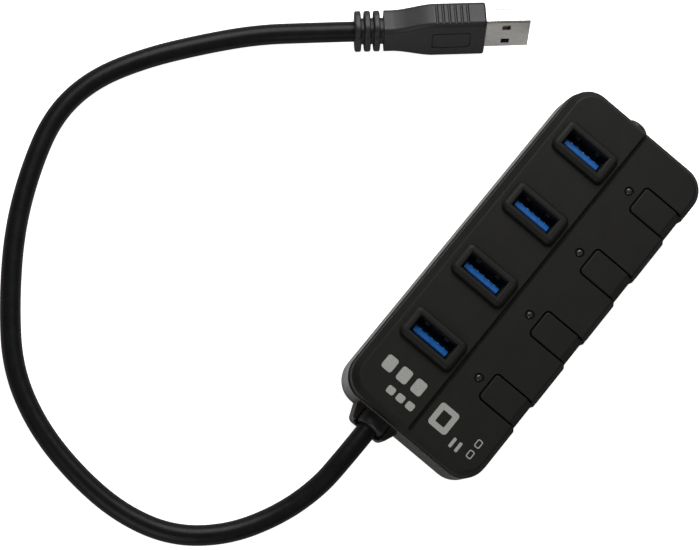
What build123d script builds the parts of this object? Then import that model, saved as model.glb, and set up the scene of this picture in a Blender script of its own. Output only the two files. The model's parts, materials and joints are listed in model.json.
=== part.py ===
from build123d import *
import math
import os

# Four-port hub with a push switch for each port, drawn in millimetres.
# +X runs along the case to the power jack, +Y to the row of sockets, -Y to the row of buttons.
# The origin is on the surface that the feet stand on, under the middle of the whole length.

# ---- Case: the upper shell's outline, and a lower shell that stands a little proud of it ------
case_length = 106.9
case_width = 44.9
corner_radius = 7.0
lower_reveal = 0.4  # how far the lower shell stands out past the upper one
jack_reach = 2.3  # how far the power jack stands out of the lower shell's far end
boss_reach = 4.4  # how far the cable boss stands out of its near end
case_x = (boss_reach - jack_reach) / 2  # middle of the case itself
near_x = case_x - case_length / 2 - lower_reveal
far_x = case_x + case_length / 2 + lower_reveal
half_width = case_width / 2

bottom_z = 0.6
parting_z = 13.8
socket_strip_z = 19.5
button_strip_z = 18.7
step_y = 0.25
step_shoulder = 0.5
groove_depth = 0.5
groove_flat = 0.4
groove_width = 1.1
bevel_run = 1.4
socket_bevel_run = 1.9
bevel_drop = 1.7
edge_round = 0.6

upper_wall = 1.8
upper_roof = 1.6
lower_wall = 2.45
lower_floor = 1.8
lower_round = 1.0
floor_z = bottom_z + lower_floor
lip_inset = 1.9
lip_thickness = 0.7
lip_rise = 1.2
seam_chamfer = 0.25

# ---- Rows --------------------------------------------------------------------------------
port_count = 4
pitch = 22.2
first_port_x = case_x + 37.25
port_x = [first_port_x - pitch * i for i in range(port_count)]
port_y = 10.55
lamp_y = -5.95

# ---- Sockets -----------------------------------------------------------------------------
mouth_depth = 5.12
mouth_width = 12.5
socket_sheet = 0.3
collar_depth = 9.7
collar_width = 17.8
collar_y = port_y - 0.2
collar_rise = 1.9
collar_radius = 2.0
collar_round = 1.4
mouth_round = 0.5
collar_z = socket_strip_z + collar_rise
socket_top_z = collar_z - 1.2
tongue_thickness = 1.84
tongue_width = 11.3
tongue_offset = -0.86
tongue_top_z = 18.85
tongue_lead = 0.6  # lead-in chamfer on the contact side
insulator_base_z = 10.4

# ---- Buttons -----------------------------------------------------------------------------
button_depth = 8.0
button_inner_y = -9.05
button_front_y = -21.74
button_proud = 0.2
button_top_z = button_strip_z + button_proud
button_gap = 0.45
opening_flare = 0.6
button_corner = 1.0
button_slope = 2.0
button_flange_y = -18.9
pocket_back_y = -18.8
pocket_lip_y = -19.5
button_edge_round = 0.35
button_wall = 1.1
button_rim_z = 15.6
button_travel = 1.4
skirt_bottom_z = 11.4
pocket_floor_z = skirt_bottom_z - button_travel - 0.4
stem_size = 5.0
stem_bottom_z = 13.2
switch_y = -14.55
switch_size = 6.6
switch_top_z = 11.6
plunger_size = 2.8
plunger_top_z = 15.0
plunger_foot_z = 10.0
spring_floor_z = 7.4
spring_wire = 0.25
spring_turns = 3.5
spring_radius = 1.5

# ---- Lamps -------------------------------------------------------------------------------
lamp_radius = 1.0
lamp_hole_radius = 1.2
lamp_top_z = button_strip_z + 0.1

# ---- Circuit board and what is on it -----------------------------------------------------
board_length = 98.0
board_width = 38.4
board_bottom_z = 5.4
board_thickness = 1.6
board_z = board_bottom_z + board_thickness

# ---- Fastenings and feet -----------------------------------------------------------------
post_x = 46.6
post_y = 17.0
lower_post_radius = 3.3
upper_post_radius = 2.5
screw_radius = 1.1
screw_head_radius = 2.1
foot_radius = 4.0
foot_recess = 0.6

# ---- Power jack --------------------------------------------------------------------------
jack_y = 2.55
jack_z = 9.9
jack_radius = 3.3
jack_nose_round = 1.4
jack_bore_radius = 1.8
jack_bore_depth = 9.5
jack_pin_radius = 0.65

# ---- Cable and its way out ---------------------------------------------------------------
cable_radius = 2.8
cable_y = 7.75
cable_z = 8.0
relief_radius = 4.25
relief_end_x = near_x - 3.5
neck_radius = 3.5
boss_base_width = 14.0
boss_end_width = 10.4
boss_top_z = 9.0

# ---- Plug --------------------------------------------------------------------------------
plug_tail = (26.2, 79.75, 5.95)
plug_heading = -48.5
plug_pitch = 6.0
plug_roll = 68.0
grip_length = 8.05
grip_rib = 1.75
grip_rib_pitch = 2.6
grip_rib_rise = 0.5  # how far each rib stands out past the neck behind it
grip_width = 10.4
grip_height = 8.2
overmold_length = 28.0
overmold_width = 15.4
overmold_height = 7.8
overmold_end = grip_length + overmold_length
plug_shell_length = 12.2
plug_shell_width = 12.0
plug_shell_height = 4.5
plug_sheet = 0.3

gap = 0.05


# ---- Helpers -----------------------------------------------------------------------------
def block(x0, x1, y0, y1, z0, z1):
    """Box between any two opposite corners."""
    middle = ((x0 + x1) / 2, (y0 + y1) / 2, (z0 + z1) / 2)
    return Pos(*middle) * Box(abs(x1 - x0), abs(y1 - y0), abs(z1 - z0))


def plate(length, width, radius, z0, z1, x=case_x, y=0.0):
    """Upright prism with a rounded-rectangle outline."""
    outline = Pos(x, y, z0) * RectangleRounded(length, width, radius)
    return extrude(outline, z1 - z0, dir=(0, 0, 1))


def drum(x, y, z0, z1, radius):
    """Upright cylinder."""
    return Pos(x, y, (z0 + z1) / 2) * Cylinder(radius, z1 - z0)


def rod_x(x0, x1, y, z, radius):
    """Cylinder along X."""
    return Pos((x0 + x1) / 2, y, z) * Rot(0, 90, 0) * Cylinder(radius, x1 - x0)


def corners():
    """Centres of the four case screws."""
    return [(case_x + sx * post_x, sy * post_y) for sx in (-1, 1) for sy in (-1, 1)]


def edges_at(shape, z, tolerance=0.01):
    """Level edges of a shape at one height."""
    return [e for e in shape.edges() if abs(e.bounding_box().min.Z - z) < tolerance
            and abs(e.bounding_box().max.Z - z) < tolerance]


def save(name, shape):
    export_step(shape, f"parts/{name}.step")


# ---- Upper shell -------------------------------------------------------------------------
def lid(inset, top_z, straight_z, base_z):
    """Outline of the case, upright to straight_z, then leaning in to top_z, most on the socket side."""
    length = case_length - 2 * inset
    width = case_width - 2 * inset
    radius = corner_radius - inset
    wall = plate(length, width, radius, base_z, straight_z)
    foot = Pos(case_x, 0, straight_z) * RectangleRounded(length, width, radius)
    crown_y = (bevel_run - socket_bevel_run) / 2
    crown_width = width - bevel_run - socket_bevel_run
    crown = RectangleRounded(length - 2 * bevel_run, crown_width, radius - bevel_run)
    return wall + loft([foot, Pos(case_x, crown_y, top_z) * crown], ruled=True)


def outer_lid(top_z):
    """Outside of the lid with a softened bevel."""
    shape = lid(0, top_z, top_z - bevel_drop, parting_z)
    return fillet(edges_at(shape, top_z) + edges_at(shape, top_z - bevel_drop), edge_round)


def inner_lid(top_z):
    """Hollow of the lid."""
    roof_z = top_z - upper_roof
    return lid(upper_wall, roof_z, roof_z - 1.3, parting_z - 1)


def split_lid(high, low):
    """Joins the socket half of one lid to the button half of another."""
    reach = case_length
    socket_half = high & block(-reach, reach, step_y, reach, -1, 40)
    button_half = low & block(-reach, reach, -reach, step_y, -1, 40)
    return socket_half + button_half


def step_groove():
    """Shallow groove in the button strip, at the foot of the step, and the eased edge of the step above it."""
    half = case_length / 2 + 1
    low, brim, crest = button_strip_z - groove_depth, button_strip_z + 0.2, socket_strip_z + 0.1
    outline = Polyline((step_y, low), (step_y - groove_flat, low), (step_y - groove_width, brim),
                       (step_y - groove_width, crest), (step_y + step_shoulder, crest),
                       (step_y, socket_strip_z - step_shoulder), close=True)
    profile = Plane.YZ.offset(case_x - half) * make_face(outline)
    return extrude(profile, 2 * half, dir=(1, 0, 0))


def collar(x):
    """Raised frame round one socket."""
    base_z = socket_strip_z - upper_roof
    body = plate(collar_depth, collar_width, collar_radius, base_z, collar_z, x, collar_y)
    body = fillet(edges_at(body, collar_z), collar_round) - mouth_block(x)
    return fillet(edges_at(body, collar_z), mouth_round)


def mouth_block(x):
    return block(x - mouth_depth / 2, x + mouth_depth / 2, port_y - mouth_width / 2, port_y + mouth_width / 2,
                 parting_z, collar_z + 1)


def collar_cut(x):
    """Mouth of one socket, with the pocket for its metal shell below it."""
    half_x = mouth_depth / 2 + socket_sheet + 0.2
    half_y = mouth_width / 2 + socket_sheet + 0.2
    pocket = block(x - half_x, x + half_x, port_y - half_y, port_y + half_y, parting_z, socket_top_z + gap)
    return mouth_block(x) + pocket


def button_cut(x):
    """Opening for one button, open to the button side of the case and flared where it leaves the wall."""
    depth = button_depth + 2 * button_gap
    reach = 30.0
    middle_y = button_inner_y + button_gap - reach / 2
    opening = plate(depth, reach, button_corner + button_gap, parting_z - 1, 30, x, middle_y)
    inner, outer = opening_flare - half_width, -half_width - 1
    narrow, wide = depth / 2, depth / 2 + opening_flare + 1
    outline = Polyline((x - narrow, inner), (x - wide, outer), (x + wide, outer), (x + narrow, inner), close=True)
    return opening + extrude(Pos(0, 0, parting_z - 1) * make_face(outline), 20, dir=(0, 0, 1))


def lamp_cut(x):
    """Hole for one light pipe, with a small countersink."""
    sink = Pos(x, lamp_y, button_strip_z - 0.1) * Cone(lamp_hole_radius, lamp_hole_radius + 0.25, 0.25)
    return drum(x, lamp_y, parting_z, 30, lamp_hole_radius) + sink


def upper_shell():
    outside = split_lid(outer_lid(socket_strip_z), outer_lid(button_strip_z))
    shell = outside - split_lid(inner_lid(socket_strip_z), inner_lid(button_strip_z))
    shell = shell - step_groove()
    for x, y in corners():
        post = drum(x, y, board_bottom_z + gap, button_strip_z, upper_post_radius)
        shell = shell + (post & (outside + block(-80, 80, -40, 40, 0, parting_z)))
        shell = shell - drum(x, y, 0, 12.4, screw_radius + gap)
    for x in port_x:
        shell = shell + collar(x)
    for x in port_x:
        shell = shell - collar_cut(x) - button_cut(x) - lamp_cut(x)
    return shell


# ---- Lower shell -------------------------------------------------------------------------
def cable_boss():
    """Tapered cradle under the strain relief."""
    start = near_x + 1.0
    end = near_x - boss_reach
    half_base, half_end = boss_base_width / 2, boss_end_width / 2
    outline = Polyline((start, cable_y - half_base), (near_x, cable_y - half_base), (end, cable_y - half_end),
                       (end, cable_y + half_end), (near_x, cable_y + half_base), (start, cable_y + half_base),
                       close=True)
    body = extrude(Pos(0, 0, 1.2) * make_face(outline), boss_top_z - 1.2, dir=(0, 0, 1))
    upright = [e for e in body.edges().filter_by(Axis.Z) if e.center().X < end + 0.1]
    body = fillet(upright, 1.6)
    rim = [e for e in edges_at(body, boss_top_z) + edges_at(body, 1.2) if e.center().X < near_x - 0.2]
    return fillet(rim, 0.5)


def backing(x):
    """Inner wall behind the pocket that a button's skirt moves in."""
    half = button_depth / 2 + 1.6
    return block(x - half, x + half, -half_width + 2.1, pocket_back_y, 8.0, parting_z)


def lower_shell():
    length = case_length + 2 * lower_reveal
    width = case_width + 2 * lower_reveal
    radius = corner_radius + lower_reveal
    shell = plate(length, width, radius, bottom_z, parting_z)
    shell = fillet(edges_at(shell, bottom_z), lower_round)
    shell = chamfer(edges_at(shell, parting_z), seam_chamfer)
    shell = shell - plate(length - 2 * lower_wall, width - 2 * lower_wall, radius - lower_wall, floor_z, parting_z + 1)

    lip = plate(case_length - 2 * lip_inset, case_width - 2 * lip_inset, corner_radius - lip_inset,
                parting_z - 1.2, parting_z + lip_rise)
    lip_inner = lip_inset + lip_thickness
    lip = lip - plate(case_length - 2 * lip_inner, case_width - 2 * lip_inner, corner_radius - lip_inner,
                      parting_z - 2, parting_z + lip_rise + 1)
    shell = shell + lip

    for x in port_x:
        half = button_depth / 2 + 1.9
        shell = shell - block(x - half, x + half, -half_width, pocket_lip_y, parting_z, parting_z + 5)
        shell = shell + backing(x)
        half = button_depth / 2 + button_gap
        shell = shell - block(x - half, x + half, -half_width - 1, -half_width + 2.1, pocket_floor_z, parting_z + 5)

    for x, y in corners():
        shell = shell + drum(x, y, floor_z - 0.5, board_bottom_z, lower_post_radius)
    for x, y in corners():
        shell = shell - drum(x, y, 0, bottom_z + foot_recess, foot_radius + 0.1)
        shell = shell - drum(x, y, 0, 3.0, screw_head_radius + 0.2)
        shell = shell - drum(x, y, 0, board_bottom_z + 1, screw_radius + 0.2)
    for x in (case_x - 17.2, case_x + 26.4):
        shell = shell + drum(x, -4.0, floor_z - 0.5, board_bottom_z, 1.5)
        shell = shell + drum(x, 16.0, floor_z - 0.5, board_bottom_z, 1.5)

    shell = shell + cable_boss()
    shell = shell - rod_x(near_x - 9, near_x, cable_y, cable_z, relief_radius + 0.2)
    shell = shell - rod_x(near_x - 9, near_x + 4, cable_y, cable_z, neck_radius + 0.1)
    shell = shell - rod_x(far_x - 4, far_x + 1, jack_y, jack_z, jack_radius + 0.2)
    return shell


def rubber_feet():
    feet = []
    for x, y in corners():
        pad = drum(x, y, 0, bottom_z + foot_recess - gap, foot_radius)
        feet.append(fillet(edges_at(pad, 0), 0.3))
    return Compound(children=feet)


def case_screws():
    screws = []
    for x, y in corners():
        head = drum(x, y, 1.5, 3.0, screw_head_radius)
        head = fillet(edges_at(head, 1.5), 0.4)
        shank = drum(x, y, 2.9, 11.6, screw_radius)
        slot = block(x - 1.1, x + 1.1, y - 0.2, y + 0.2, 1.4, 2.2) + block(x - 0.2, x + 0.2, y - 1.1, y + 1.1, 1.4, 2.2)
        screws.append(head + shank - slot)
    return Compound(children=screws)


# ---- Circuit board -----------------------------------------------------------------------
def tab_places(x):
    """Centres of the four solder tabs of one socket."""
    wall = mouth_depth / 2 + socket_sheet / 2
    return [(x + sx * wall, port_y + sy * 4.6) for sx in (-1, 1) for sy in (-1, 1)]


def circuit_board():
    board = plate(board_length, board_width, 3.0, board_bottom_z, board_z)
    for x, y in corners():
        board = board - drum(x, y, 0, 10, upper_post_radius + 0.3)
    edge = case_x - board_length / 2
    board = board - block(edge - 1, edge + 4.0, cable_y - 3.6, cable_y + 3.6, 0, 10)
    for x in port_x:
        for tab_x, tab_y in tab_places(x):
            board = board - block(tab_x - 0.4, tab_x + 0.4, tab_y - 0.9, tab_y + 0.9, 0, 10)
    return board


# ---- Sockets -----------------------------------------------------------------------------
def spring_leaf(x, side, y):
    """Leaf cut out of a wide wall of the socket shell and bent into its mouth."""
    wall = x + side * (mouth_depth / 2 + socket_sheet / 2)
    foot_z, length = 12.6, 5.0
    leaf = Pos(0, 0, length / 2) * Box(0.25, 1.5, length)
    return Pos(wall, y, foot_z) * Rot(0, -side * 4.0, 0) * leaf


def port_shell(x):
    half_x, half_y = mouth_depth / 2, mouth_width / 2
    base_z = board_z + 0.02
    outside = plate(mouth_depth + 2 * socket_sheet, mouth_width + 2 * socket_sheet, 0.6, base_z, socket_top_z, x, port_y)
    shell = outside - plate(mouth_depth, mouth_width, 0.3, base_z - 1, socket_top_z + 1, x, port_y)
    for side in (-1, 1):
        for y in (port_y - 3.4, port_y + 3.4):
            window = block(x + side * (half_x - 0.1), x + side * (half_x + 0.5), y - 1.15, y + 1.15, 12.8, 18.2)
            shell = shell - window + spring_leaf(x, side, y)
    for tab_x, tab_y in tab_places(x):
        half = socket_sheet / 2
        shell = shell + block(tab_x - half, tab_x + half, tab_y - 0.6, tab_y + 0.6, 4.6, base_z + 0.5)
    return shell


def port_tongue(x):
    """Insulator: a base that fills the shell, and the tongue that stands on it."""
    base = plate(mouth_depth - 0.2, mouth_width - 0.2, 0.3, board_z + 0.02, insulator_base_z, x, port_y)
    middle = x + tongue_offset
    half = tongue_thickness / 2
    tongue = block(middle - half, middle + half, port_y - tongue_width / 2, port_y + tongue_width / 2,
                   insulator_base_z - 0.5, tongue_top_z)
    rims = edges_at(tongue, tongue_top_z)
    lead = [e for e in rims if e.center().X > middle + half - 0.01]
    tongue = chamfer(lead, tongue_lead)
    tongue = chamfer([e for e in edges_at(tongue, tongue_top_z) if e.center().X < middle - half + 0.01], 0.25)
    return base + tongue


def port_contacts(x):
    """Four long blades and five short ones on the open face of the tongue."""
    face = x + tongue_offset + tongue_thickness / 2
    blades = []
    for y in (-3.5, -1.0, 1.0, 3.5):
        blades.append(block(face, face + 0.15, port_y + y - 0.5, port_y + y + 0.5, insulator_base_z, 15.8))
    for y in (-4.0, -2.0, 0.0, 2.0, 4.0):
        blades.append(block(face, face + 0.12, port_y + y - 0.3, port_y + y + 0.3, 16.3, 18.1))
    return Compound(children=blades)


# ---- Buttons and switches ----------------------------------------------------------------
def button_cap(x):
    half = button_depth / 2
    middle_y = (button_inner_y + button_front_y) / 2
    body = block(x - half, x + half, button_front_y, button_inner_y, button_rim_z, button_top_z)
    inner = [e for e in body.edges().filter_by(Axis.Z) if e.center().Y > middle_y]
    body = fillet(inner, button_corner)
    front = [e for e in edges_at(body, button_top_z) if e.center().Y < button_front_y + 0.01]
    body = chamfer(front, button_slope)
    rim = [e for e in body.edges() if e.bounding_box().max.Z > button_top_z - 0.01
           and e.bounding_box().min.Z > button_top_z - button_slope - 0.1]
    body = fillet(rim, button_edge_round)
    hollow = block(x - half + button_wall, x + half - button_wall, button_front_y + button_wall,
                   button_inner_y - button_wall, 0, button_top_z - button_slope)
    body = body - hollow
    skirt = block(x - half, x + half, button_front_y, button_front_y + button_wall, skirt_bottom_z, button_rim_z + 0.5)
    skirt = fillet(skirt.edges().filter_by(Axis.X).group_by(Axis.Z)[0], 0.3)
    flange = block(x - half - 0.9, x + half + 0.9, button_flange_y, button_inner_y + 0.9, button_rim_z,
                   button_rim_z + 1.0)
    flange = flange - block(x - half + 0.5, x + half - 0.5, button_flange_y - 1, button_inner_y - 0.5, 0, 30)
    stem = block(x - stem_size / 2, x + stem_size / 2, switch_y - stem_size / 2, switch_y + stem_size / 2,
                 stem_bottom_z, button_top_z - 1.0)
    socket = plunger_size / 2 + gap
    stem = stem - block(x - socket, x + socket, switch_y - socket, switch_y + socket, 0, plunger_top_z + gap)
    return body + skirt + flange + stem


def switch_body(x):
    half = switch_size / 2
    body = block(x - half, x + half, switch_y - half, switch_y + half, board_z + 0.02, switch_top_z)
    body = fillet(body.edges().filter_by(Axis.Z), 0.5)
    body = body - block(x - 2.3, x + 2.3, switch_y - 2.3, switch_y + 2.3, spring_floor_z, switch_top_z - 0.7)
    shaft = plunger_size / 2 + 0.2
    return body - block(x - shaft, x + shaft, switch_y - shaft, switch_y + shaft, 9, 20)


def switch_plunger(x):
    half = plunger_size / 2
    shaft = block(x - half, x + half, switch_y - half, switch_y + half, plunger_foot_z, plunger_top_z)
    shaft = chamfer(edges_at(shaft, plunger_top_z), 0.3)
    foot = block(x - 2.0, x + 2.0, switch_y - 2.0, switch_y + 2.0, plunger_foot_z, plunger_foot_z + 0.7)
    return shaft + foot


def switch_spring(x):
    """Return spring under the plunger."""
    low = spring_floor_z + spring_wire / 2 + 0.02
    high = plunger_foot_z - spring_wire / 2 - 0.02
    path = Pos(x, switch_y, low) * Helix((high - low) / spring_turns, high - low, spring_radius)
    section = Plane(path @ 0, z_dir=path % 0) * Circle(spring_wire / 2)
    return sweep(section, path=path)


# ---- Lamps and small electronics ---------------------------------------------------------
def light_pipe(x):
    rod = drum(x, lamp_y, 8.2, lamp_top_z, lamp_radius)
    rod = fillet(edges_at(rod, lamp_top_z), 0.6)
    stop = drum(x, lamp_y, button_strip_z - upper_roof - 0.7, button_strip_z - upper_roof - gap, lamp_radius + 0.6)
    return rod + stop


def chip(x, y, length, width, height, edge=0.1):
    """Small block soldered on the board."""
    body = block(x - length / 2, x + length / 2, y - width / 2, y + width / 2, board_z, board_z + height)
    return chamfer(edges_at(body, board_z + height), edge)


def indicator_leds():
    return Compound(children=[chip(x, lamp_y, 1.6, 0.8, 0.7) for x in port_x])


def hub_chip():
    middle = (port_x[1] + port_x[2]) / 2
    body = chip(middle, 9.0, 9.0, 9.0, 0.9, 0.15)
    return body - drum(middle - 3.4, 12.4, board_z + 0.75, board_z + 2, 0.4)


def crystal():
    middle = (port_x[1] + port_x[2]) / 2
    can = plate(10.4, 4.4, 2.1, board_z + 0.02, board_z + 3.5, middle, -1.2)
    return fillet(edges_at(can, board_z + 3.5), 0.5)


def bulk_capacitors():
    cans = []
    for x in (first_port_x - pitch / 2, port_x[3] + pitch / 2, port_x[3] - 11.0):
        base = chip(x, -13.0, 6.6, 6.6, 0.8, 0.2)
        can = drum(x, -13.0, board_z + 0.7, board_z + 5.6, 3.15)
        cans.append(base + fillet(edges_at(can, board_z + 5.6), 0.4))
    return Compound(children=cans)


def port_fuses():
    return Compound(children=[chip(x, 0.6, 4.5, 3.0, 0.9, 0.15) for x in port_x])


def small_chip_parts():
    """Resistors and capacitors beside each switch and round the hub chip."""
    parts = []
    for x in port_x:
        for k in range(3):
            parts.append(chip(x + 3.6, lamp_y - 1.2 + 1.5 * k, 1.6, 0.8, 0.5, 0.08))
            parts.append(chip(x - 3.6, lamp_y - 1.2 + 1.5 * k, 1.6, 0.8, 0.5, 0.08))
    middle = (port_x[1] + port_x[2]) / 2
    for k in range(5):
        parts.append(chip(middle - 4.4 + 2.2 * k, 15.6, 1.0, 1.6, 0.5, 0.08))
    return Compound(children=parts)


# ---- Power jack --------------------------------------------------------------------------
def jack_body():
    inner = far_x - lower_wall - 0.25
    front = far_x + jack_reach
    body = block(inner - 9.0, inner, jack_y - 3.8, jack_y + 3.8, board_z + 0.02, 12.5)
    body = fillet(body.edges().filter_by(Axis.X), 0.6)
    barrel = rod_x(inner - 0.5, front, jack_y, jack_z, jack_radius)
    nose = [e for e in barrel.edges() if e.center().X > front - 0.01]
    barrel = fillet(nose, jack_nose_round)
    jack = body + barrel
    return jack - rod_x(front - jack_bore_depth, front + 1, jack_y, jack_z, jack_bore_radius)


def jack_pin():
    front = far_x + jack_reach
    pin = rod_x(front - jack_bore_depth, front - 1.2, jack_y, jack_z, jack_pin_radius)
    return fillet([e for e in pin.edges() if e.center().X > front - 1.3], 0.3)


def jack_contact():
    """Sprung leaf along the top of the jack's bore."""
    front = far_x + jack_reach
    top = jack_z + jack_bore_radius
    return block(front - jack_bore_depth + 0.2, front - 2.5, jack_y - 0.5, jack_y + 0.5, top - 0.65, top - 0.4)


# ---- Cable, strain relief and leads ------------------------------------------------------
def strain_relief():
    """Turned grommet: barrel outside, neck in the wall, flange inside."""
    outer = near_x
    inner = near_x + lower_wall
    barrel = rod_x(relief_end_x, outer, cable_y, cable_z, relief_radius)
    nose = [e for e in barrel.edges() if e.center().X < relief_end_x + 0.01]
    barrel = fillet(nose, 0.9)
    neck = rod_x(outer - 0.1, inner + 0.2, cable_y, cable_z, neck_radius)
    flange = rod_x(inner + 0.1, inner + 1.3, cable_y, cable_z, 4.6)
    return barrel + neck + flange


def cable_route():
    """Points of the cable's route, from the strain relief to the plug."""
    lay = cable_radius
    return [
        (relief_end_x, cable_y, cable_z),
        (-66.5, 7.75, cable_z),
        (-77.5, 7.95, 5.2),
        (-90.0, 11.55, 3.2),
        (-102.5, 18.85, lay),
        (-112.0, 30.15, lay),
        (-116.0, 44.55, lay),
        (-115.6, 60.55, lay),
        (-112.2, 76.55, lay),
        (-104.8, 91.05, lay),
        (-92.0, 103.05, lay),
        (-76.0, 114.85, lay),
        (-60.0, 122.55, lay),
        (-45.0, 127.15, lay),
        (-31.0, 125.75, lay),
        (-17.0, 118.85, lay),
        (-3.0, 108.95, lay),
        (8.5, 99.55, 3.2),
        before_plug(),
        plug_tail,
    ]


def before_plug():
    """Route point in line with the plug's axis."""
    run = 12.3
    heading, rise = math.radians(plug_heading), math.radians(plug_pitch)
    level = run * math.cos(rise)
    return (plug_tail[0] - level * math.cos(heading), plug_tail[1] - level * math.sin(heading),
            plug_tail[2] - run * math.sin(rise))


def cable():
    points = [Vector(*p) for p in cable_route()]
    radii = []
    for before, corner, after in zip(points, points[1:], points[2:]):
        run_in, run_out = corner - before, after - corner
        turn = math.radians(run_in.get_angle(run_out))
        radii.append(0.45 * min(run_in.length, run_out.length) / math.tan(turn / 2))
    path = FilletPolyline(*points, radius=radii)
    section = Plane(path @ 0, z_dir=path % 0) * Circle(cable_radius)
    tube = sweep(section, path=path)
    print("cable length", round(path.length, 1), "radii", [round(r, 1) for r in radii])
    print("volume over section times length", round(tube.volume / (math.pi * cable_radius ** 2 * path.length), 4))
    return tube


def tail_start():
    return near_x + lower_wall + 1.3


def cable_tail():
    """Stripped end of the jacket inside the case."""
    start = tail_start()
    return rod_x(start, start + 3.4, cable_y, cable_z, cable_radius)


def lead_wires():
    """Nine conductors from the jacket to the pads on the board."""
    start = tail_start() + 3.4
    wire_radius = 0.4
    wires = []
    for k in range(9):
        row, column = divmod(k, 3)
        y0 = cable_y + 1.5 * (row - 1) + 0.35 * (column - 1)
        z0 = cable_z + 0.6 + 1.0 * (column - 1)
        y1 = cable_y + 1.6 * (k - 4)
        z1 = board_z + wire_radius + 0.05
        points = [(start, y0, z0), (start + 1.0, y0, z0), (start + 4.4, y1, z1), (start + 6.4, y1, z1)]
        path = FilletPolyline(*points, radius=0.45)
        section = Plane(path @ 0, z_dir=path % 0) * Circle(wire_radius)
        wires.append(sweep(section, path=path))
    return Compound(children=wires)


# ---- Plug: drawn along +X from its tail, wide along Y, then laid on its narrow side ---------
def lay_plug(shape):
    turn = Rot(0, 0, plug_heading) * Rot(0, -plug_pitch, 0) * Rot(plug_roll, 0, 0)
    return Pos(*plug_tail) * turn * shape


def slab_x(x0, x1, width, height, radius):
    """Rounded-rectangle bar along X."""
    outline = Plane.YZ.offset(x0) * RectangleRounded(width, height, radius)
    return extrude(outline, x1 - x0, dir=(1, 0, 0))


def plug_overmold():
    shoulder, full = grip_length + 2.6, grip_length + 13.4
    half, narrow = overmold_width / 2, grip_width / 2
    upper = Polyline((grip_length, 0), (grip_length, narrow), (shoulder, narrow))
    flare = Spline((shoulder, narrow), (full, half), tangents=((1, 0.1), (1, 0.1)))
    front = Polyline((full, half), (overmold_end, half), (overmold_end, 0), (grip_length, 0))
    side = make_face(upper + flare + front)
    plan = side + mirror(side, about=Plane.XZ)
    body = extrude(Pos(0, 0, -overmold_height / 2) * plan, overmold_height, dir=(0, 0, 1))
    long_edges = [e for e in body.edges() if abs(abs(e.center().Z) - overmold_height / 2) < 0.01
                  and grip_length + 0.1 < e.center().X < overmold_end - 0.1]
    body = fillet(long_edges, 1.4)
    front_edges = [e for e in body.edges() if e.center().X > overmold_end - 0.01]
    body = fillet(front_edges, 0.7)
    core = slab_x(0.4, grip_length + 0.5, 7.0, 6.4, 2.6)
    body = body + core
    rib_width, rib_height = grip_width + 2 * grip_rib_rise, grip_height + 2 * grip_rib_rise
    for k in range(3):
        start = k * grip_rib_pitch
        rib = slab_x(start, start + grip_rib, rib_width, rib_height, 3.6)
        rib = fillet([e for e in rib.edges() if abs(e.center().X - start) < 0.01
                      or abs(e.center().X - start - grip_rib) < 0.01], 0.5)
        body = body + rib
    first_rib, rib_pitch = grip_length + 14.4, 1.7
    for k in range(6):
        x = first_rib + k * rib_pitch
        for side_y in (-1, 1):
            groove = Pos(x, side_y * (half + 0.15), 0) * Cylinder(0.45, 2 * overmold_height)
            body = body - groove
    for face_z in (-1, 1):
        mark = slab_panel(grip_length + 18.5, face_z * (overmold_height / 2), 10.8, 6.6)
        body = body - mark
    seat = plug_shell_width / 2 + 0.02, plug_shell_height / 2 + 0.02
    body = body - block(overmold_end - 4.0, overmold_end + 1, -seat[0], seat[0], -seat[1], seat[1])
    return lay_plug(body)


def slab_panel(x, z, length, width):
    """Thin rounded outline sunk into a wide face of the plug."""
    depth = 0.3
    outer = Pos(x, 0, z - depth) * RectangleRounded(length, width, 1.2)
    inner = Pos(x, 0, z - depth) * RectangleRounded(length - 0.6, width - 0.6, 0.9)
    return extrude(outer - inner, 2 * depth, dir=(0, 0, 1))


def plug_shell():
    start, end = overmold_end - 3.9, overmold_end + plug_shell_length
    tube = slab_x(start, end, plug_shell_width, plug_shell_height, 0.6)
    tube = tube - slab_x(start - 1, end + 1, plug_shell_width - 2 * plug_sheet, plug_shell_height - 2 * plug_sheet, 0.1)
    for side_y in (-3.1, 3.1):
        tube = tube - block(end - 7.6, end - 5.3, side_y - 1.0, side_y + 1.0, -5, 5)
    return lay_plug(tube)


def plug_tongue():
    """Insulator against one wide wall of the plug's shell."""
    start, end = overmold_end - 3.8, overmold_end + plug_shell_length - 0.4
    half_w = plug_shell_width / 2 - plug_sheet - gap
    low = -plug_shell_height / 2 + plug_sheet + gap
    tongue = block(start, end, -half_w, half_w, low, low + 1.9)
    tongue = chamfer([e for e in tongue.edges() if e.center().X > end - 0.01 and e.center().Z > low + 1.8], 0.3)
    back = block(start, overmold_end - 0.4, -half_w, half_w, low + 1.8, -low)
    return lay_plug(tongue + back)


def plug_contacts():
    """Four long blades near the mouth and five short ones behind them."""
    end = overmold_end + plug_shell_length
    face = -plug_shell_height / 2 + plug_sheet + gap + 1.9
    blades = []
    for y, reach in ((-3.5, 1.3), (-1.0, 2.3), (1.0, 2.3), (3.5, 1.3)):
        blades.append(lay_plug(block(end - 8.6, end - reach, y - 0.5, y + 0.5, face, face + 0.12)))
    for y in (-4.0, -2.0, 0.0, 2.0, 4.0):
        blades.append(lay_plug(block(end - 11.4, end - 9.4, y - 0.35, y + 0.35, face, face + 0.25)))
    return Compound(children=blades)


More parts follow.
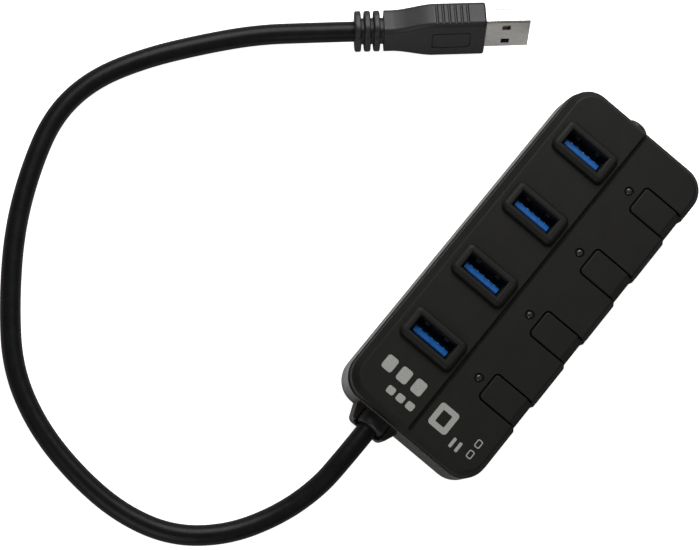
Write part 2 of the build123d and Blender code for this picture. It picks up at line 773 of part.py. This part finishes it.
# ---- Every piece to its own file ---------------------------------------------------------
def main():
    os.makedirs("parts", exist_ok=True)
    single = {
        "upper_shell": upper_shell, "lower_shell": lower_shell, "rubber_feet": rubber_feet,
        "case_screws": case_screws, "circuit_board": circuit_board, "hub_chip": hub_chip, "crystal": crystal,
        "bulk_capacitors": bulk_capacitors, "port_fuses": port_fuses, "small_chip_parts": small_chip_parts,
        "indicator_leds": indicator_leds, "jack_body": jack_body, "jack_pin": jack_pin,
        "jack_contact": jack_contact, "strain_relief": strain_relief, "cable": cable, "cable_tail": cable_tail,
        "lead_wires": lead_wires, "plug_overmold": plug_overmold, "plug_shell": plug_shell,
        "plug_tongue": plug_tongue, "plug_contacts": plug_contacts,
    }
    for name, make in single.items():
        save(name, make())
    repeated = {
        "port_shell": port_shell, "port_tongue": port_tongue, "port_contacts": port_contacts,
        "button_cap": button_cap, "switch_body": switch_body, "switch_plunger": switch_plunger,
        "switch_spring": switch_spring, "light_pipe": light_pipe,
    }
    for name, make in repeated.items():
        for number, x in enumerate(port_x, start=1):
            save(f"{name}_{number}", make(x))


main()
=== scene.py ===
"""Looks of the four-port hub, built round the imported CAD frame. Lengths are in metres."""

import json
import math

import bmesh
import bpy
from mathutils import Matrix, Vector


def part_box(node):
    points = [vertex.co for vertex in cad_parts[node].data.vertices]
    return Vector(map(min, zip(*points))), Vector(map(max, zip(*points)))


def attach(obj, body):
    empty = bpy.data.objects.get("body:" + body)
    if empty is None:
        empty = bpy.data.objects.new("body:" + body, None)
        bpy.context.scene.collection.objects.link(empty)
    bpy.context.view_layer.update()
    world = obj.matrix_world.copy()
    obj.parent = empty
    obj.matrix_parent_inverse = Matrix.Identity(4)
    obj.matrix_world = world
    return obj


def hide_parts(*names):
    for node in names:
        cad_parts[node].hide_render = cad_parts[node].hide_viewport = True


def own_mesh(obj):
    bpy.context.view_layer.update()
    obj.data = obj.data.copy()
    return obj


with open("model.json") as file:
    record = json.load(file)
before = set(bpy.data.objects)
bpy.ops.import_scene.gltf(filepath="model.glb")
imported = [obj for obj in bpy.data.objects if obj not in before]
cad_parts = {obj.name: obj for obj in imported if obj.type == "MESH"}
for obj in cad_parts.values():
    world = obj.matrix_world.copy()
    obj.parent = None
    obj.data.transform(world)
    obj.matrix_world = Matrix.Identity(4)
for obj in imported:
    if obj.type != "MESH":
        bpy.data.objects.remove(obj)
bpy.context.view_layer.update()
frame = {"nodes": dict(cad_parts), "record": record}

MM = 0.001
PORTS = range(1, 5)
HOUSING = "housing"


def add_object(name, data):
    """New object in the scene's own collection."""
    piece = bpy.data.objects.new(name, data)
    bpy.context.scene.collection.objects.link(piece)
    return piece


# ---- Camera ------------------------------------------------------------------------------
CAMERA_PLACE = (-0.1515, 0.06165, 0.640)
CAMERA_TURN_DEGREES = (7.223, -8.710, -50.728)
CAMERA_LENS = 122.3
SENSOR_WIDTH = 36.0


def add_camera():
    """Almost straight down on the hub, from beyond its cable end."""
    data = bpy.data.cameras.new("camera")
    data.sensor_width = SENSOR_WIDTH
    data.lens = CAMERA_LENS
    data.clip_start = 0.01
    camera = add_object("camera", data)
    camera.location = CAMERA_PLACE
    camera.rotation_euler = [math.radians(angle) for angle in CAMERA_TURN_DEGREES]
    bpy.context.scene.camera = camera


# ---- Cable -------------------------------------------------------------------------------
CABLE_DIAMETER = 5.6 * MM
LAY = 2.8  # height of the cable's middle where it lies on the surface
CABLE_ROUTE_MM = [
    (-56.3, 7.75, 8.0), (-66.5, 7.75, 8.0), (-77.5, 7.95, 5.2), (-90.0, 11.55, 3.2),
    (-102.5, 18.85, LAY), (-112.0, 30.15, LAY), (-116.0, 44.55, LAY), (-115.6, 60.55, LAY),
    (-112.2, 76.55, LAY), (-104.8, 91.05, LAY), (-92.0, 103.05, LAY), (-76.0, 114.85, LAY),
    (-60.0, 122.55, LAY), (-45.0, 127.15, LAY), (-31.0, 125.75, LAY), (-17.0, 118.85, LAY),
    (-3.0, 108.95, LAY), (8.5, 99.55, 3.2), (18.1, 88.91, 4.66), (26.2, 79.75, 5.95),
]


def add_cable():
    """Round jacket from the strain relief to the plug's grip; each point's radius is the tube's."""
    data = bpy.data.curves.new("cable_jacket", "CURVE")
    data.dimensions = "3D"
    data.bevel_depth = 1.0
    data.bevel_resolution = 10
    data.resolution_u = 16
    data.use_fill_caps = True
    spline = data.splines.new("NURBS")
    spline.points.add(len(CABLE_ROUTE_MM) - 1)
    for point, place in zip(spline.points, CABLE_ROUTE_MM):
        point.co = (*[value * MM for value in place], 1.0)
        point.radius = CABLE_DIAMETER / 2
    spline.order_u = 3
    spline.use_endpoint_u = True
    cable = add_object("cable_jacket", data)
    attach(cable, HOUSING)
    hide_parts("cable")
    return cable


# ---- Materials ---------------------------------------------------------------------------
class Nodes:
    """Short names for building one node material."""

    def __init__(self, name):
        self.material = bpy.data.materials.new(name)
        self.material.use_nodes = True
        self.tree = self.material.node_tree
        self.shader = self.tree.nodes["Principled BSDF"]
        self.place = self.tree.nodes.new("ShaderNodeTexCoord").outputs["Object"]

    def link(self, source, target):
        self.tree.links.new(source, target)

    def set(self, **values):
        """Constants straight on the shader's own sockets."""
        for name, value in values.items():
            self.shader.inputs[name.replace("_", " ")].default_value = value

    def scaled(self, stretch, turn=(0, 0, 0)):
        """Object coordinates turned and stretched."""
        mapping = self.tree.nodes.new("ShaderNodeMapping")
        mapping.inputs["Rotation"].default_value = turn
        mapping.inputs["Scale"].default_value = stretch
        self.link(self.place, mapping.inputs["Vector"])
        return mapping.outputs["Vector"]

    def noise(self, size, detail=2.0, roughness=0.5, vector=None):
        """Noise whose features are about size metres across."""
        node = self.tree.nodes.new("ShaderNodeTexNoise")
        node.inputs["Scale"].default_value = 1.0 / size
        node.inputs["Detail"].default_value = detail
        node.inputs["Roughness"].default_value = roughness
        self.link(vector or self.place, node.inputs["Vector"])
        return node.outputs["Fac"]

    def spread(self, value, low, high, new_low=0.0, new_high=1.0):
        """Maps low..high to new_low..new_high, clamped."""
        node = self.tree.nodes.new("ShaderNodeMapRange")
        ends = {"From Min": low, "From Max": high, "To Min": new_low, "To Max": new_high}
        for socket, number in ends.items():
            node.inputs[socket].default_value = number
        self.link(value, node.inputs["Value"])
        return node.outputs["Result"]

    def ramp(self, value, stops, interpolation="LINEAR"):
        """Colour ramp; stops are (position, colour)."""
        node = self.tree.nodes.new("ShaderNodeValToRGB")
        node.color_ramp.interpolation = interpolation
        elements = node.color_ramp.elements
        while len(elements) < len(stops):
            elements.new(0.5)
        for element, (position, color) in zip(elements, stops):
            element.position = position
            element.color = (*color, 1.0)
        self.link(value, node.inputs["Fac"])
        return node.outputs["Color"]

    def bump(self, height, distance, strength=1.0, under=None):
        """Bump of that depth in metres, on top of another one if given."""
        node = self.tree.nodes.new("ShaderNodeBump")
        node.inputs["Distance"].default_value = distance
        node.inputs["Strength"].default_value = strength
        self.link(height, node.inputs["Height"])
        if under is not None:
            self.link(under, node.inputs["Normal"])
        return node.outputs["Normal"]

    def finish_normal(self, normal):
        self.link(normal, self.shader.inputs["Normal"])
        return self.material


def shade(color, factor):
    return tuple(min(1.0, channel * factor) for channel in color)


def moulded(name, color, rough, grain, depth, mottle=0.12, specular=0.5):
    """Moulded plastic: fine spark-eroded grain, slight mottling and uneven gloss."""
    n = Nodes(name)
    patches = n.noise(6 * MM, 3.0)
    n.link(n.ramp(patches, [(0.3, shade(color, 1 - mottle)), (0.7, shade(color, 1 + mottle))]),
           n.shader.inputs["Base Color"])
    fine = n.noise(grain, 2.0, 0.6)
    wear = n.noise(2.5 * MM, 2.0)
    n.link(n.spread(wear, 0.3, 0.7, rough - 0.04, rough + 0.04), n.shader.inputs["Roughness"])
    n.set(Specular_IOR_Level=specular)
    return n.finish_normal(n.bump(fine, depth))


def soft_plastic(name, color, rough):
    """Soft overmoulded plastic, finely dusted."""
    n = Nodes(name)
    dust = n.noise(0.35 * MM, 4.0, 0.7)
    n.link(n.ramp(dust, [(0.35, shade(color, 0.85)), (0.62, color), (0.8, shade(color, 1.5))]),
           n.shader.inputs["Base Color"])
    n.link(n.spread(dust, 0.3, 0.7, rough - 0.05, rough + 0.07), n.shader.inputs["Roughness"])
    fine = n.bump(n.noise(0.12 * MM, 2.0), 0.012 * MM)
    return n.finish_normal(n.bump(n.noise(1.6 * MM, 2.0), 0.03 * MM, under=fine))


def jacket(name, color):
    """Extruded cable jacket: satin, a little wavy along its length."""
    n = Nodes(name)
    n.set(Specular_IOR_Level=0.14)
    waves = n.noise(4.5 * MM, 2.0)
    n.link(n.ramp(waves, [(0.3, shade(color, 0.85)), (0.7, shade(color, 1.2))]),
           n.shader.inputs["Base Color"])
    n.link(n.spread(n.noise(1.2 * MM, 3.0), 0.3, 0.7, 0.33, 0.42), n.shader.inputs["Roughness"])
    fine = n.bump(n.noise(0.1 * MM, 2.0), 0.006 * MM)
    return n.finish_normal(n.bump(waves, 0.10 * MM, under=fine))


def plated(name, color, rough, brush=None):
    """Plated metal with faint rolling marks."""
    n = Nodes(name)
    n.set(Metallic=1.0)
    cloud = n.noise(1.8 * MM, 3.0)
    n.link(n.ramp(cloud, [(0.3, shade(color, 0.88)), (0.7, color)]), n.shader.inputs["Base Color"])
    marks = n.noise(0.25 * MM, 2.0, vector=n.scaled(brush) if brush else None)
    n.link(n.spread(marks, 0.3, 0.7, rough - 0.05, rough + 0.08), n.shader.inputs["Roughness"])
    return n.finish_normal(n.bump(marks, 0.004 * MM))


def blue_insulator(name):
    """Glossy moulded insulator."""
    n = Nodes(name)
    flow = n.noise(1.4 * MM, 2.0)
    n.link(n.ramp(flow, [(0.3, (0.001, 0.085, 0.32)), (0.7, (0.002, 0.11, 0.4))]),
           n.shader.inputs["Base Color"])
    n.link(n.spread(flow, 0.3, 0.7, 0.3, 0.4), n.shader.inputs["Roughness"])
    return n.finish_normal(n.bump(n.noise(0.2 * MM), 0.004 * MM))


def lens_with_painted_shade(name):
    """Clear plastic rod of the indicator, darkened with painted shade for the dark inside seen through it.
    """
    n = Nodes(name)
    # dark base colour: painted shade of the dark inside seen down the clear rod
    n.set(IOR=1.49, Transmission_Weight=0.35, Base_Color=(0.035, 0.035, 0.035, 1.0))
    n.link(n.spread(n.noise(0.6 * MM), 0.3, 0.7, 0.12, 0.24), n.shader.inputs["Roughness"])
    return n.finish_normal(n.bump(n.noise(0.4 * MM), 0.006 * MM))


def solder_mask(name):
    """Green board with darker bare stretches and fine tracks under the mask."""
    n = Nodes(name)
    tracks = n.tree.nodes.new("ShaderNodeTexWave")
    tracks.inputs["Scale"].default_value = 320.0
    tracks.inputs["Distortion"].default_value = 6.0
    tracks.inputs["Detail"].default_value = 1.0
    n.link(n.place, tracks.inputs["Vector"])
    n.link(n.ramp(tracks.outputs["Fac"], [(0.45, (0.006, 0.07, 0.025)), (0.6, (0.012, 0.14, 0.05))]),
           n.shader.inputs["Base Color"])
    n.link(n.spread(n.noise(3 * MM), 0.3, 0.7, 0.3, 0.42), n.shader.inputs["Roughness"])
    return n.finish_normal(n.bump(tracks.outputs["Fac"], 0.02 * MM))


def banded(name, colors, pitch):
    """Insulation in several colours, one band after another across the row of wires."""
    n = Nodes(name)
    split = n.tree.nodes.new("ShaderNodeSeparateXYZ")
    n.link(n.place, split.inputs["Vector"])
    low = CABLE_ROUTE_MM[0][1] * MM - pitch * len(colors) / 2
    position = n.spread(split.outputs["Y"], low, low + pitch * len(colors))
    stops = [(index / len(colors), color) for index, color in enumerate(colors)]
    n.link(n.ramp(position, stops, "CONSTANT"), n.shader.inputs["Base Color"])
    n.link(n.spread(n.noise(0.5 * MM), 0.3, 0.7, 0.4, 0.5), n.shader.inputs["Roughness"])
    return n.finish_normal(n.bump(n.noise(0.3 * MM), 0.008 * MM))


def printed(name):
    """Pad-printed light grey ink, a little uneven at its edges."""
    n = Nodes(name)
    ink = n.noise(0.22 * MM, 4.0, 0.6)
    n.link(n.ramp(ink, [(0.25, (0.20, 0.20, 0.19)), (0.55, (0.33, 0.33, 0.31))]),
           n.shader.inputs["Base Color"])
    n.link(n.spread(ink, 0.3, 0.7, 0.5, 0.62), n.shader.inputs["Roughness"])
    return n.finish_normal(n.bump(ink, 0.01 * MM))


WIRE_PITCH = 1.6 * MM
WIRE_COLORS = [(0.6, 0.02, 0.02), (0.02, 0.02, 0.02), (0.02, 0.3, 0.05), (0.7, 0.7, 0.7), (0.02, 0.06, 0.5),
               (0.75, 0.55, 0.02), (0.3, 0.02, 0.3), (0.75, 0.25, 0.02), (0.25, 0.12, 0.05)]


def make_materials():
    return {
        "case_matt": moulded("case_matt", (0.0066, 0.0063, 0.0052), 0.55, 0.24 * MM, 0.035 * MM,
                             specular=0.2),
        "case_gloss": moulded("case_gloss", (0.016, 0.013, 0.0095), 0.28, 0.3 * MM, 0.004 * MM),
        "foot_rubber": soft_plastic("foot_rubber", (0.03, 0.03, 0.03), 0.75),
        "steel": plated("steel", (0.6, 0.6, 0.61), 0.32),
        "board_green": solder_mask("board_green"),
        "chip_black": moulded("chip_black", (0.025, 0.025, 0.028), 0.55, 0.1 * MM, 0.01 * MM),
        "capacitor_can": plated("capacitor_can", (0.72, 0.72, 0.74), 0.3, brush=(1, 1, 0.05)),
        "fuse_green": moulded("fuse_green", (0.03, 0.2, 0.08), 0.45, 0.2 * MM, 0.01 * MM),
        "ceramic": moulded("ceramic", (0.42, 0.33, 0.23), 0.5, 0.15 * MM, 0.01 * MM, 0.25),
        "led_white": moulded("led_white", (0.8, 0.8, 0.72), 0.3, 0.3 * MM, 0.004 * MM),
        "jack_black": moulded("jack_black", (0.009, 0.009, 0.009), 0.42, 0.2 * MM, 0.01 * MM),
        "gold": plated("gold", (0.83, 0.6, 0.25), 0.26),
        "soft_black": soft_plastic("soft_black", (0.007, 0.007, 0.0068), 0.5),
        "jacket_black": jacket("jacket_black", (0.006, 0.006, 0.0062)),
        "wire_insulation": banded("wire_insulation", WIRE_COLORS, WIRE_PITCH),
        "nickel": plated("nickel", (0.66, 0.64, 0.60), 0.30),
        # socket shell plating darkened far below bright steel: painted shade for the deep socket mouths
        "port_steel_painted_shade": plated("port_steel_painted_shade", (0.20, 0.19, 0.18), 0.36),
        "insulator_blue": blue_insulator("insulator_blue"),
        "switch_black": moulded("switch_black", (0.03, 0.03, 0.03), 0.5, 0.2 * MM, 0.01 * MM),
        "switch_white": moulded("switch_white", (0.78, 0.78, 0.74), 0.4, 0.2 * MM, 0.006 * MM),
        "clear_plastic": lens_with_painted_shade("clear_plastic"),
        "printed": printed("printed"),
    }


def dress_cad(materials):
    """Gives each CAD node the material of its slot, but the deep socket shells a darker plating that paints
    the shade inside the socket mouths.
    """
    for part in frame["record"]["subparts"]:
        node = frame["nodes"][part["node"]]
        look = "port_steel_painted_shade" if part["node"].startswith("port_shell") else part["material_slot"]
        node.data.materials.clear()
        node.data.materials.append(materials[look])


# ---- Return springs ----------------------------------------------------------------------
SPRING_WIRE = 0.25 * MM
SPRING_TURNS = 3.5


def add_spring(number, material):
    """Coil under one switch's plunger."""
    node = f"switch_spring_{number}"
    low, high = [Vector(corner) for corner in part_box(node)]
    x, y = (low.x + high.x) / 2, (low.y + high.y) / 2
    wire = SPRING_WIRE / 2
    coil = (high.y - low.y) / 2 - wire
    bottom, rise = low.z + wire, high.z - low.z - SPRING_WIRE
    sides = 8
    steps = round(24 * SPRING_TURNS)
    points = []
    for step in range(steps + 1):
        turn = 2 * math.pi * SPRING_TURNS * step / steps
        for side in range(sides):
            angle = 2 * math.pi * side / sides
            reach = coil + wire * math.cos(angle)
            height = bottom + rise * step / steps + wire * math.sin(angle)
            points.append((x + reach * math.cos(turn), y + reach * math.sin(turn), height))
    faces = [tuple(reversed(range(sides))), tuple(range(steps * sides, (steps + 1) * sides))]
    for step in range(steps):
        for side in range(sides):
            after = (side + 1) % sides
            first, second = step * sides, (step + 1) * sides
            faces.append((first + side, first + after, second + after, second + side))
    mesh = bpy.data.meshes.new(f"coil_{number}")
    mesh.from_pydata(points, [], faces)
    mesh.materials.append(material)
    for face in mesh.polygons:
        face.use_smooth = True
    spring = add_object(f"coil_{number}", mesh)
    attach(spring, HOUSING)
    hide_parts(node)
    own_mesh(spring)


# ---- Printed marks -----------------------------------------------------------------------
INK_THICKNESS = 0.03 * MM
INK_LIFT = 0.004 * MM
COLLAR_RISE = 1.9 * MM  # the sockets' collars above the socket strip
BUTTON_RISE = 0.2 * MM  # the button caps above the button strip


def rounded_outline(width, height, radius):
    """Points of a rounded rectangle given in millimetres, anticlockwise, in metres."""
    steps = 6
    points = []
    for corner in range(4):
        cx = (width / 2 - radius) * (1 if corner in (0, 3) else -1)
        cy = (height / 2 - radius) * (1 if corner in (0, 1) else -1)
        for step in range(steps + 1):
            angle = math.pi / 2 * (corner + step / steps)
            points.append(((cx + radius * math.cos(angle)) * MM, (cy + radius * math.sin(angle)) * MM))
    return points


def add_mark(bm, x, y, z, outer, inner=None):
    """Thin raised print: a filled outline, or a band between two outlines of as many points."""
    def ring(outline, height):
        return [bm.verts.new((x + px, y + py, height)) for px, py in outline]
    top, foot = ring(outer, z + INK_THICKNESS), ring(outer, z)
    count = len(outer)
    if inner is None:
        bm.faces.new(top)
        bm.faces.new(list(reversed(foot)))
    else:
        top_in, foot_in = ring(inner, z + INK_THICKNESS), ring(inner, z)
    for i in range(count):
        j = (i + 1) % count
        bm.faces.new((foot[i], foot[j], top[j], top[i]))
        if inner is not None:
            bm.faces.new((top[i], top[j], top_in[j], top_in[i]))
            bm.faces.new((foot[j], foot[i], foot_in[i], foot_in[j]))
            bm.faces.new((foot_in[j], foot_in[i], top_in[i], top_in[j]))


def add_prints(material, near_x, socket_z, button_z):
    """Plain geometric marks at the cable end, where such a hub carries its print."""
    bm = bmesh.new()

    def row(count, first, step, z, outer, inner=None):
        """Equal marks in a row; first and step are (x, y) in millimetres, x from the case's near end."""
        for k in range(count):
            x, y = first[0] + step[0] * k, first[1] + step[1] * k
            add_mark(bm, near_x + x * MM, y * MM, z + INK_LIFT, outer, inner)

    row(3, (11.4, 15.1), (0, -5.0), socket_z, rounded_outline(4.2, 3.4, 0.8))
    row(3, (6.0, 10.4), (0, -3.3), socket_z, rounded_outline(2.2, 2.4, 0.6))
    row(1, (9.4, -5.4), (0, 0), button_z, rounded_outline(7.0, 6.2, 1.0), rounded_outline(3.8, 3.0, 0.3))
    row(2, (6.0, -11.2), (0, -2.0), button_z, rounded_outline(3.0, 0.9, 0.3))
    row(2, (6.6, -16.9), (3.6, 0), button_z, rounded_outline(2.4, 1.7, 0.5), rounded_outline(1.8, 1.1, 0.3))
    bmesh.ops.recalc_face_normals(bm, faces=bm.faces)
    mesh = bpy.data.meshes.new("printed_marks")
    bm.to_mesh(mesh)
    bm.free()
    mesh.materials.append(material)
    marks = add_object("printed_marks", mesh)
    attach(marks, HOUSING)


# ---- Studio ------------------------------------------------------------------------------
ROOM_LIGHT = 0.09
BACKDROP_TONE = 0.93
FLOOR_TONE = 0.92
FLOOR_GLOW = 0.85
TABLE_TONE = 0.6
TABLE_DROP = 0.2 * MM
STUDIO_MIDDLE = (-0.03, 0.05, 0.0)


def add_area(name, place, target, size, power):
    """Square soft light at a place, facing a target."""
    data = bpy.data.lights.new(name, "AREA")
    data.shape = "SQUARE"
    data.size = size
    data.energy = power
    light = add_object(name, data)
    light.location = place
    light.rotation_euler = (Vector(target) - Vector(place)).to_track_quat("-Z", "Y").to_euler()
    light.visible_camera = False


def add_sheet(name, height, tone, glow):
    """Plain paper at that height, with a faint cloudiness and a glow that lifts its shadows."""
    half = 3.0
    mesh = bpy.data.meshes.new(name)
    corners = [(-half, -half, height), (half, -half, height), (half, half, height), (-half, half, height)]
    mesh.from_pydata(corners, [], [(0, 1, 2, 3)])
    n = Nodes(name)
    paper = (tone, tone, tone)
    n.link(n.ramp(n.noise(0.2), [(0.3, shade(paper, 0.98)), (0.7, paper)]), n.shader.inputs["Base Color"])
    n.set(Roughness=0.9, Specular_IOR_Level=0.0)
    n.set(Emission_Color=(1.0, 1.0, 1.0, 1.0), Emission_Strength=glow)
    mesh.materials.append(n.material)
    sheet = add_object(name, mesh)
    return sheet


def add_surroundings():
    """Pale backdrop for the eye, dim room for the light that reaches the object."""
    world = bpy.data.worlds.new("studio")
    world.use_nodes = True
    tree = world.node_tree
    room = tree.nodes["Background"]
    room.inputs["Color"].default_value = (1.0, 1.0, 1.0, 1.0)
    room.inputs["Strength"].default_value = ROOM_LIGHT
    backdrop = tree.nodes.new("ShaderNodeBackground")
    backdrop.inputs["Color"].default_value = (BACKDROP_TONE, BACKDROP_TONE, BACKDROP_TONE, 1.0)
    mix = tree.nodes.new("ShaderNodeMixShader")
    tree.links.new(tree.nodes.new("ShaderNodeLightPath").outputs["Is Camera Ray"], mix.inputs["Fac"])
    tree.links.new(room.outputs["Background"], mix.inputs[1])
    tree.links.new(backdrop.outputs["Background"], mix.inputs[2])
    tree.links.new(mix.outputs["Shader"], tree.nodes["World Output"].inputs["Surface"])
    bpy.context.scene.world = world


def add_studio():
    """Pale floor that only the camera sees, over a dimmer table that the object is lit from."""
    floor = add_sheet("floor", 0.0, FLOOR_TONE, FLOOR_GLOW)
    floor.visible_diffuse = False
    floor.visible_glossy = False
    floor.visible_transmission = False
    floor.visible_shadow = False
    table = add_sheet("table", -TABLE_DROP, TABLE_TONE, 0.0)
    table.visible_camera = False
    add_surroundings()
    bpy.context.scene.view_settings.view_transform = "Standard"
    add_area("key", (0.34, 0.30, 0.46), STUDIO_MIDDLE, 0.46, 4.6)
    add_area("fill", (-0.55, -0.10, 0.34), STUDIO_MIDDLE, 0.40, 1.3)


# ---- Build -------------------------------------------------------------------------------
add_camera()
cable_jacket = add_cable()
finishes = make_materials()
dress_cad(finishes)
cable_jacket.data.materials.append(finishes["jacket_black"])

shell_low, shell_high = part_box("upper_shell")
cap_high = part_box("button_cap_1")[1]
add_prints(finishes["printed"], shell_low[0], shell_high[2] - COLLAR_RISE, cap_high[2] - BUTTON_RISE)
for number in PORTS:
    add_spring(number, finishes["steel"])
add_studio()
